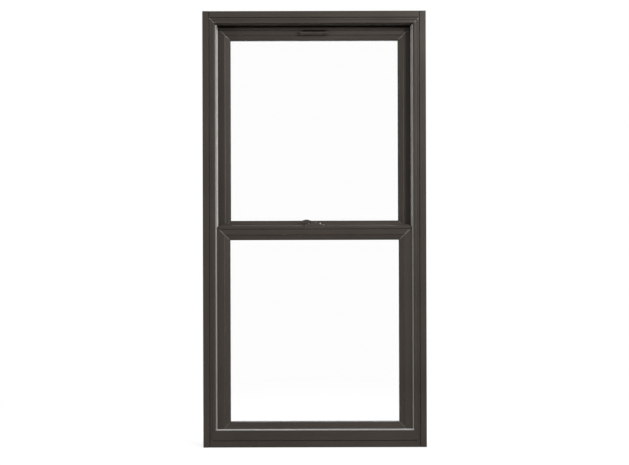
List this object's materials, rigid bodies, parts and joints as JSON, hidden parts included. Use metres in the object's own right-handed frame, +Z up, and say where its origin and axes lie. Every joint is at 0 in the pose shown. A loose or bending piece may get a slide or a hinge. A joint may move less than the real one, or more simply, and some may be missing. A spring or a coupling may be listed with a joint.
{
  "type": "double-pane window",
  "caption": "Double-hung tilt window: a framed pair of sliding sashes with sealed double glazing, cam lock, tilt latches and a finger pull.",
  "frame": {"origin": "on the underside of the sill, at the middle of the frame's width and depth", "axes": "+Z up, +X to the right seen from the room, -Y towards the room and +Y towards the weather side"},
  "size_m": [0.8002, 0.0826, 1.5621],
  "materials": {
    "frame": "satin dark bronze",
    "sash": "satin dark bronze",
    "hardware": "satin dark bronze",
    "lock": "satin dark bronze",
    "glass": "clear",
    "spacer": "grey warm-edge",
    "seal": "light grey",
    "pile": "grey pile",
    "balance": "galvanised"
  },
  "bodies": {
    "root": {"finger_pull": "hardware", "head": "frame", "head_stop": "frame", "left_jamb": "frame", "left_lower_balance": "balance", "left_parting_strip": "seal", "left_pile_strip": "pile", "left_stop": "frame", "left_tilt_latch": "hardware", "left_upper_balance": "balance", "lock_base": "lock", "lock_keeper": "lock", "lock_lever": "lock", "lower_bottom_bead": "sash", "lower_bottom_rail": "sash", "lower_inner_pane": "glass", "lower_left_bead": "sash", "lower_left_stile": "sash", "lower_outer_pane": "glass", "lower_right_bead": "sash", "lower_right_stile": "sash", "lower_spacer": "spacer", "lower_top_bead": "sash", "lower_top_rail": "sash", "right_jamb": "frame", "right_lower_balance": "balance", "right_parting_strip": "seal", "right_pile_strip": "pile", "right_stop": "frame", "right_tilt_latch": "hardware", "right_upper_balance": "balance", "sill": "frame", "sill_stop": "frame", "sill_weatherstrip": "seal", "upper_bottom_bead": "sash", "upper_bottom_rail": "sash", "upper_inner_pane": "glass", "upper_left_bead": "sash", "upper_left_stile": "sash", "upper_outer_pane": "glass", "upper_right_bead": "sash", "upper_right_stile": "sash", "upper_spacer": "spacer", "upper_top_bead": "sash", "upper_top_rail": "sash"}
  },
  "joints": []
}
